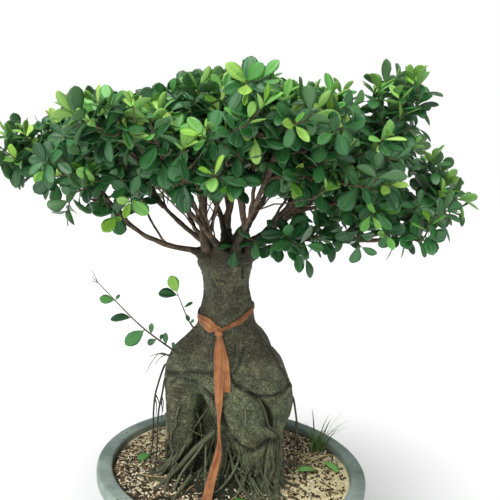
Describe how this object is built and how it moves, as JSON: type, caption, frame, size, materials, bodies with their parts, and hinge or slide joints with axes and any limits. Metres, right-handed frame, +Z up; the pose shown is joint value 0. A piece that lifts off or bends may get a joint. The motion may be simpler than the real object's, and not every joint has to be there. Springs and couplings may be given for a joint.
{
  "type": "bonsai tree in a pot",
  "caption": "Fig bonsai with a swollen trunk on leg-like roots, a flat-topped leafy crown on grafted limbs and a cloth tie, in a wide shallow round tub of soil.",
  "frame": {"origin": "centre of the tub's underside, on the surface it stands on", "axes": "+Z up along the trunk, -Y towards the front, +X to the right seen from the front"},
  "size_m": [0.8078, 0.6477, 0.9135],
  "materials": {
    "tub": "weathered grey-green, satin, with dust and soil specks on a broad flat rim",
    "soil": "coarse bark and coir mix with pale chips, matt",
    "bark": "smooth grey-green fig bark with fine cross wrinkles, lenticels and dark creases",
    "twig_bark": "brown young bark, matt",
    "leaf": "leathery dark green with a gloss and a paler midrib, yellow-green when young",
    "tie_cloth": "copper-orange plain woven cloth, creased",
    "grass": "fresh green blades, satin",
    "straw": "dry tan straw, matt"
  },
  "bodies": {
    "root": {"aerial_root_left_inner": "bark", "aerial_root_left_outer": "bark", "aerial_root_right": "bark", "fallen_leaf_far_right": "leaf", "fallen_leaf_front": "leaf", "fallen_leaf_right": "leaf", "grass_tuft": "grass", "limb_centre": "twig_bark", "limb_diagonal_right": "twig_bark", "limb_front": "twig_bark", "limb_front_left": "twig_bark", "limb_leader": "twig_bark", "limb_left_rear": "twig_bark", "limb_low_left": "twig_bark", "limb_low_right": "twig_bark", "limb_rear": "twig_bark", "limb_right_rear": "twig_bark", "limb_upper_left": "twig_bark", "shoulder_shoot_lower": "leaf", "shoulder_shoot_upper": "leaf", "soil": "soil", "spray_centre_1": "leaf", "spray_centre_2": "leaf", "spray_diagonal_right_1": "leaf", "spray_diagonal_right_2": "leaf", "spray_front_1": "leaf", "spray_front_2": "leaf", "spray_front_left_1": "leaf", "spray_front_left_2": "leaf", "spray_leader_1": "leaf", "spray_leader_2": "leaf", "spray_left_rear_1": "leaf", "spray_left_rear_2": "leaf", "spray_low_left_1": "leaf", "spray_low_left_2": "leaf", "spray_low_right_1": "leaf", "spray_low_right_2": "leaf", "spray_low_right_3": "leaf", "spray_rear_1": "leaf", "spray_rear_2": "leaf", "spray_right_rear_1": "leaf", "spray_right_rear_2": "leaf", "spray_right_rear_3": "leaf", "spray_upper_left_1": "leaf", "spray_upper_left_2": "leaf", "spray_upper_left_3": "leaf", "stock": "bark", "straw_long": "straw", "straw_short": "straw", "tie_band": "tie_cloth", "tie_knot": "tie_cloth", "tie_long_tail": "tie_cloth", "tie_short_tail": "tie_cloth", "tub": "tub"}
  },
  "joints": []
}
